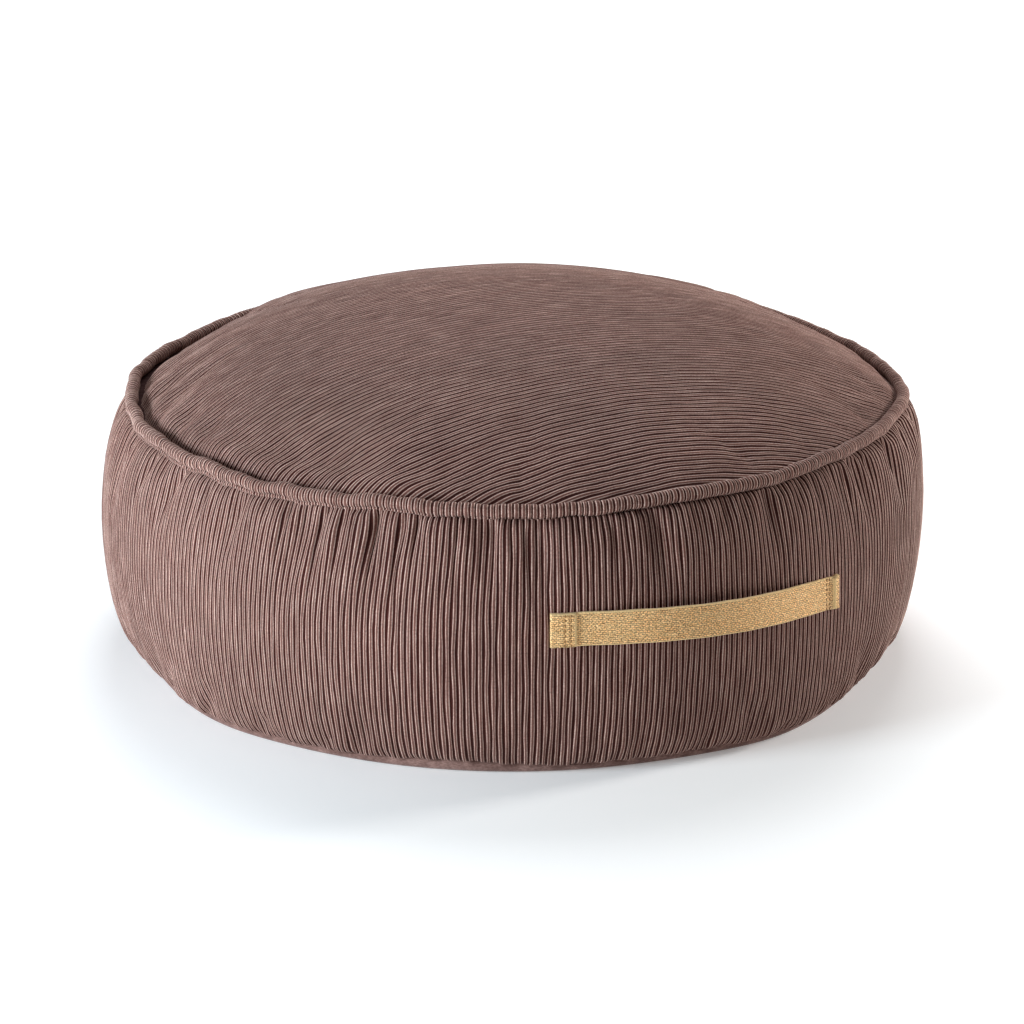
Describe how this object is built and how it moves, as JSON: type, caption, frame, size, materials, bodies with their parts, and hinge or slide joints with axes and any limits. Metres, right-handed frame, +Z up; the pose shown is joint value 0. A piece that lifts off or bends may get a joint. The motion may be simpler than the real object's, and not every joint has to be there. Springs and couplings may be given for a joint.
{
  "type": "corduroy pouf",
  "caption": "Round low floor pouf with a filled crown, a gathered side band, a piped top seam and a webbing handle.",
  "frame": {"origin": "on the floor, under the middle of the base panel", "axes": "+Z up; the handle is on the -Y side, its length along X"},
  "size_m": [0.6384, 0.654, 0.2605],
  "materials": {
    "corduroy": "wide-wale cotton corduroy, dusty mauve brown",
    "plain_cloth": "plain woven cloth in the corduroy's colour",
    "webbing": "woven ochre webbing with light selvedges"
  },
  "bodies": {
    "root": {"base_panel": "plain_cloth", "side_band": "corduroy", "top_panel": "corduroy", "top_piping": "corduroy", "handle_strap": "webbing"}
  },
  "joints": []
}
